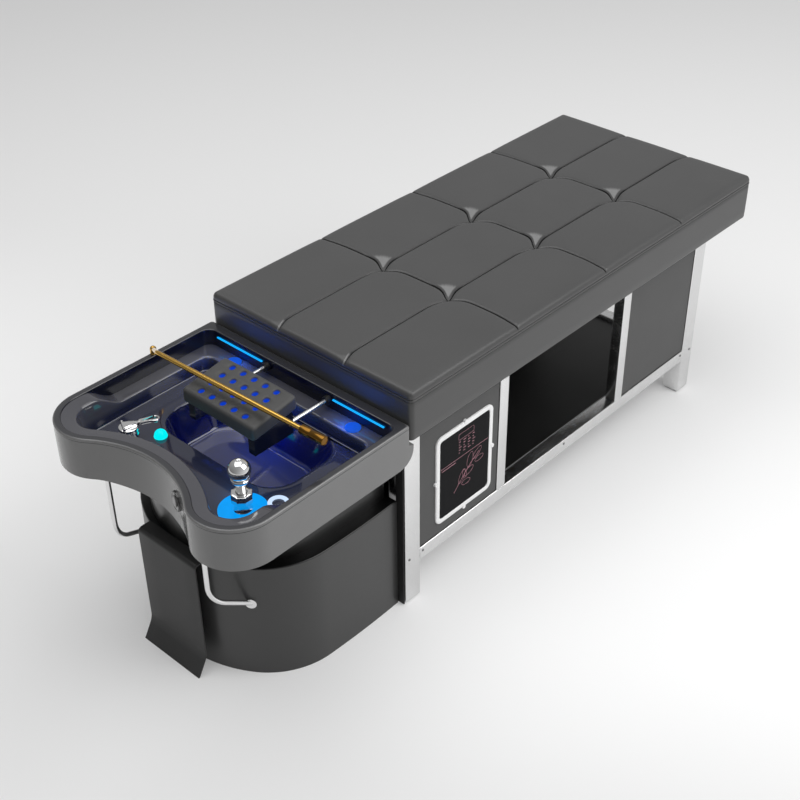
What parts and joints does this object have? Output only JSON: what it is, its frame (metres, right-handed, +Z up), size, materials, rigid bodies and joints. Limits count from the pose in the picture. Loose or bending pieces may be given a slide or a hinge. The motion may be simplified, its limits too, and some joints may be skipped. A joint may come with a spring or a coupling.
{
  "type": "hair washing bed",
  "caption": "Padded shampoo bed on a square tube frame, with a moulded backwash basin, taps, lights, a sliding headrest and a swivelling water bar at its head.",
  "frame": {"origin": "on the floor, under the middle of the whole bed's length and width", "axes": "+X from the basin to the foot end, +Z up, -Y towards the control panel side"},
  "size_m": [2.086, 0.7, 0.702],
  "materials": {
    "polished_steel": "polished square tube",
    "foot_rubber": "matt",
    "screw_steel": "satin",
    "panel_grey": "matt laminated board",
    "shelf_black": "gloss laminated board",
    "trim_grey": "satin edge strip",
    "bracket_steel": "satin powder coat",
    "bezel_white": "satin",
    "touch_glass": "black gloss",
    "case_black": "matt",
    "tank_steel": "satin",
    "pump_body": "matt",
    "pipe_white": "satin",
    "leatherette": "dark grey, semi-matt",
    "plywood": "unfinished",
    "basin_grey": "gloss",
    "liner_gloss": "high gloss",
    "chrome_fitting": "mirror polish",
    "lamp_cyan": "lit diffuser",
    "lamp_blue": "lit diffuser",
    "lamp_white": "lit diffuser",
    "headrest_foam": "soft moulded, satin",
    "headrest_shell": "gloss",
    "gold_metal": "polished gold",
    "skirt_black": "satin sheet",
    "base_grey": "satin moulding",
    "plate_black": "satin",
    "button_white": "gloss",
    "button_dark": "gloss"
  },
  "bodies": {
    "bed": {"leg_head_left": "polished_steel", "leg_head_right": "polished_steel", "leg_foot_left": "polished_steel", "leg_foot_right": "polished_steel", "lower_side_rails": "polished_steel", "upper_side_rails": "polished_steel", "lower_end_rails": "polished_steel", "upper_end_rails": "polished_steel", "frame_uprights": "polished_steel", "deck_cross_rails": "polished_steel", "leg_pads": "foot_rubber", "frame_screws": "screw_steel", "side_panel_head_left": "panel_grey", "side_panel_head_right": "panel_grey", "side_panel_foot_left": "panel_grey", "side_panel_foot_right": "panel_grey", "shelf_board": "shelf_black", "shelf_ledgers": "bracket_steel", "shelf_edge_trims": "trim_grey", "bay_partition": "shelf_black", "control_bezel": "bezel_white", "control_glass": "touch_glass", "bezel_clips": "case_black", "control_box": "case_black", "heater_tank": "tank_steel", "circulation_pump": "pump_body", "supply_pipe": "pipe_white", "mattress_cushion": "leatherette", "mattress_board": "plywood", "basin_shell": "basin_grey", "basin_liner": "liner_gloss", "drain_flange": "chrome_fitting", "drain_trap": "pipe_white", "waste_pipe": "pipe_white", "tap_body": "chrome_fitting", "shower_holder": "chrome_fitting", "glow_plate": "lamp_cyan", "dome_light": "lamp_cyan", "ring_light": "lamp_white", "ledge_lamps": "lamp_blue", "light_strips": "lamp_cyan", "rod_sockets": "headrest_shell", "headrest_rods": "chrome_fitting", "water_bar_base": "gold_metal", "pedestal_skirt": "skirt_black", "basin_base": "base_grey", "foot_plate": "plate_black", "basin_braces": "chrome_fitting", "brace_rosettes": "chrome_fitting", "basin_brackets": "bracket_steel", "button_ring": "button_dark"},
    "water_bar": {"water_bar_tube": "gold_metal", "water_bar_sleeve": "gold_metal"},
    "tap_head": {"tap_cap": "chrome_fitting"},
    "tap_handle": {"tap_lever": "chrome_fitting"},
    "shower": {"hand_shower": "chrome_fitting"},
    "headrest": {"headrest_pad": "headrest_foam", "headrest_cradle": "headrest_shell"},
    "button": {"push_button": "button_white"},
    "strainer": {"drain_strainer": "chrome_fitting"}
  },
  "joints": [
    {"name": "water_bar_swivel", "type": "hinge", "parent": "bed", "child": "water_bar", "pos_m": [-0.685, 0.3405, 0.6203], "axis": [0, 0, -1], "range_deg": [0, 95]},
    {"name": "tap_swivel", "type": "hinge", "parent": "bed", "child": "tap_head", "pos_m": [-0.888, 0.194, 0.5613], "axis": [0, 0, 1], "range_deg": [-40, 40]},
    {"name": "tap_lever_lift", "type": "hinge", "parent": "tap_head", "child": "tap_handle", "pos_m": [-0.89958, 0.1999, 0.5765], "axis": [-0.454, -0.891, 0], "range_deg": [0, 20]},
    {"name": "hand_shower_lift", "type": "slide", "parent": "bed", "child": "shower", "axis": [0, 0, 1], "range_m": [0, 0.12]},
    {"name": "headrest_slide", "type": "slide", "parent": "bed", "child": "headrest", "axis": [1, 0, 0], "range_m": [0, 0.06]},
    {"name": "button_press", "type": "slide", "parent": "bed", "child": "button", "axis": [0.9358, -0.3525, 0], "range_m": [0, 0.003], "stiffness_N_per_m": 500},
    {"name": "strainer_lift", "type": "slide", "parent": "bed", "child": "strainer", "axis": [0, 0, 1], "range_m": [0, 0.03]}
  ]
}
